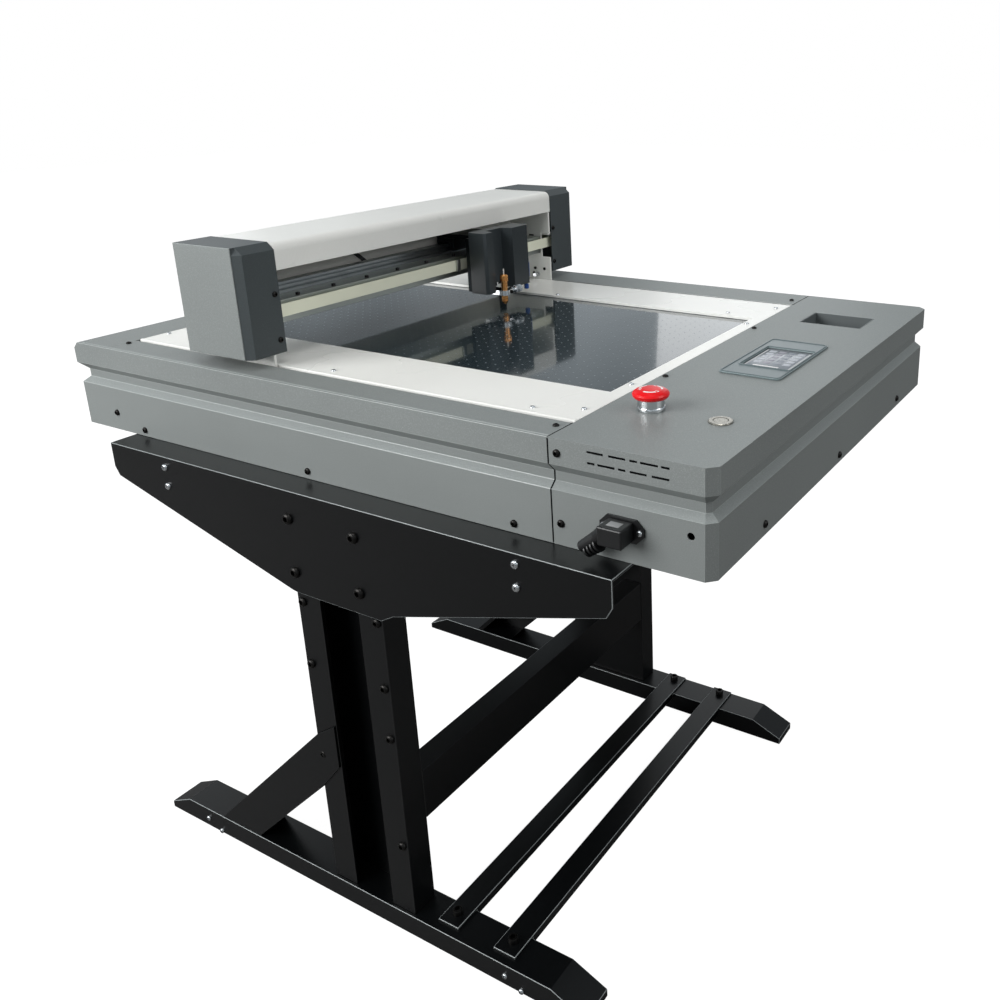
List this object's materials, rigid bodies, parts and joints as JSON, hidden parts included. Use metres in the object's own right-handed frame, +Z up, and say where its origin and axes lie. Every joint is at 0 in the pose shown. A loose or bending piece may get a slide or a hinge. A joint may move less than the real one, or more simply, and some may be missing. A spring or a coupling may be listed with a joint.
{
  "type": "flatbed cutting plotter",
  "caption": "Flatbed cutting plotter on a black steel stand: charcoal casing with vacuum table, control bay, and a travelling gantry that carries a drag-knife carriage.",
  "frame": {"origin": "on the floor, under the middle of the machine's box", "axes": "+Z up, +X along the gantry's travel towards the control bay, +Y away from the operator"},
  "size_m": [0.975, 0.74, 0.8615],
  "materials": {
    "charcoal_paint": "satin powder coat",
    "dark_charcoal": "fine texture",
    "white_paint": "satin",
    "gloss_black": "polished",
    "satin_black": "satin powder coat",
    "steel": "ground",
    "aluminium": "satin anodised",
    "zinc": "plated",
    "belt": "matte polyurethane",
    "black_plastic": "moulded",
    "grey_plastic": "moulded",
    "glass": "polished",
    "red_plastic": "gloss",
    "chrome": "polished",
    "brass": "turned",
    "circuit_board": "solder mask",
    "white_plastic": "moulded"
  },
  "bodies": {
    "root": {"main_housing": "charcoal_paint", "bay_housing": "charcoal_paint", "base_pan": "zinc", "front_deck_cover": "charcoal_paint", "left_deck_cover": "charcoal_paint", "rear_deck_cover": "charcoal_paint", "table_frame": "white_paint", "vacuum_table": "gloss_black", "vacuum_box": "zinc", "fan_housing": "black_plastic", "power_supply": "zinc", "main_board": "circuit_board", "x_rail_front": "steel", "x_rail_rear": "steel", "x_belt_front": "belt", "x_belt_rear": "belt", "x_motor": "black_plastic", "touch_bezel": "grey_plastic", "touch_glass": "glass", "pocket_tray": "dark_charcoal", "estop_collar": "chrome", "button_bezel": "steel", "power_inlet": "black_plastic", "mains_plug": "black_plastic", "near_foot": "satin_black", "far_foot": "satin_black", "near_post": "satin_black", "far_post": "satin_black", "near_brace": "satin_black", "far_brace": "satin_black", "near_arm_plate": "satin_black", "far_arm_plate": "satin_black", "cross_beam": "satin_black", "foot_bar_left": "satin_black", "foot_bar_right": "satin_black"},
    "fan_rotor": {"fan_rotor": "grey_plastic"},
    "drive_shaft": {"drive_shaft": "steel"},
    "x_idler_shaft": {"x_idler_shaft": "steel"},
    "estop_stem": {"estop_stem": "red_plastic"},
    "estop_head": {"estop_head": "red_plastic"},
    "button_cap": {"button_cap": "steel"},
    "gantry": {"front_leg": "white_paint", "rear_leg": "white_paint", "front_end_cap": "charcoal_paint", "rear_end_cap": "charcoal_paint", "gantry_beam": "aluminium", "gantry_cover": "white_paint", "cable_tray": "zinc", "y_rail": "steel", "y_belt": "belt", "y_motor": "black_plastic"},
    "y_drive_pulley": {"y_drive_pulley": "aluminium"},
    "y_idler": {"y_idler": "aluminium"},
    "carriage": {"carriage_plate": "aluminium", "carriage_housing": "dark_charcoal"},
    "tool": {"tool_clamp": "aluminium", "blade_holder": "brass", "ejector_pin": "white_plastic"},
    "blade": {"blade": "steel"},
    "thumb_screw": {"thumb_screw": "chrome"}
  },
  "joints": [
    {"name": "gantry_slide", "type": "slide", "parent": "root", "child": "gantry", "axis": [1, 0, 0], "range_m": [-0.145, 0.365]},
    {"name": "carriage_slide", "type": "slide", "parent": "gantry", "child": "carriage", "axis": [0, 1, 0], "range_m": [-0.285, 0.087]},
    {"name": "tool_lift", "type": "slide", "parent": "carriage", "child": "tool", "axis": [0, 0, 1], "range_m": [-0.006, 0.003]},
    {"name": "blade_swivel", "type": "hinge", "parent": "tool", "child": "blade", "pos_m": [-0.088, 0.1051, 0.7115], "axis": [0, 0, 1], "continuous": true},
    {"name": "thumb_screw_turn", "type": "hinge", "parent": "tool", "child": "thumb_screw", "pos_m": [-0.088, 0.1051, 0.73195], "axis": [0, 1, 0], "range_deg": [0, 720]},
    {"name": "estop_press", "type": "slide", "parent": "root", "child": "estop_stem", "axis": [0, 0, 1], "range_m": [-0.004, 0], "stiffness_N_per_m": 800, "springref_m": 0.002},
    {"name": "estop_turn", "type": "hinge", "parent": "estop_stem", "child": "estop_head", "pos_m": [0.3542, -0.2168, 0.7115], "axis": [0, 0, 1], "range_deg": [-45, 0], "stiffness_Nm_per_rad": 0.05},
    {"name": "button_press", "type": "slide", "parent": "root", "child": "button_cap", "axis": [0, 0, 1], "range_m": [-0.0025, 0], "stiffness_N_per_m": 600, "springref_m": 0.0015},
    {"name": "drive_shaft_turn", "type": "hinge", "parent": "root", "child": "drive_shaft", "pos_m": [-0.44, 0, 0.64], "axis": [0, 1, 0], "range_deg": [-640, 1610]},
    {"name": "x_idler_turn", "type": "hinge", "parent": "root", "child": "x_idler_shaft", "pos_m": [0.293, 0, 0.64], "axis": [0, 1, 0], "range_deg": [-640, 1610]},
    {"name": "y_drive_turn", "type": "hinge", "parent": "gantry", "child": "y_drive_pulley", "pos_m": [-0.1627, 0.33055, 0.7115], "axis": [0, 0, 1], "range_deg": [-1170, 360]},
    {"name": "y_idler_turn", "type": "hinge", "parent": "gantry", "child": "y_idler", "pos_m": [-0.1627, -0.30375, 0.7115], "axis": [0, 0, 1], "range_deg": [-1170, 360]},
    {"name": "fan_turn", "type": "hinge", "parent": "root", "child": "fan_rotor", "pos_m": [-0.05375, 0.00625, 0.62], "axis": [0, 0, 1], "continuous": true}
  ],
  "couplings": [
    {"joint": "drive_shaft_turn", "follows": "gantry_slide", "rad_per_m": 76.628},
    {"joint": "x_idler_turn", "follows": "gantry_slide", "rad_per_m": 76.628},
    {"joint": "y_drive_turn", "follows": "carriage_slide", "rad_per_m": 71.174},
    {"joint": "y_idler_turn", "follows": "carriage_slide", "rad_per_m": 71.174}
  ]
}
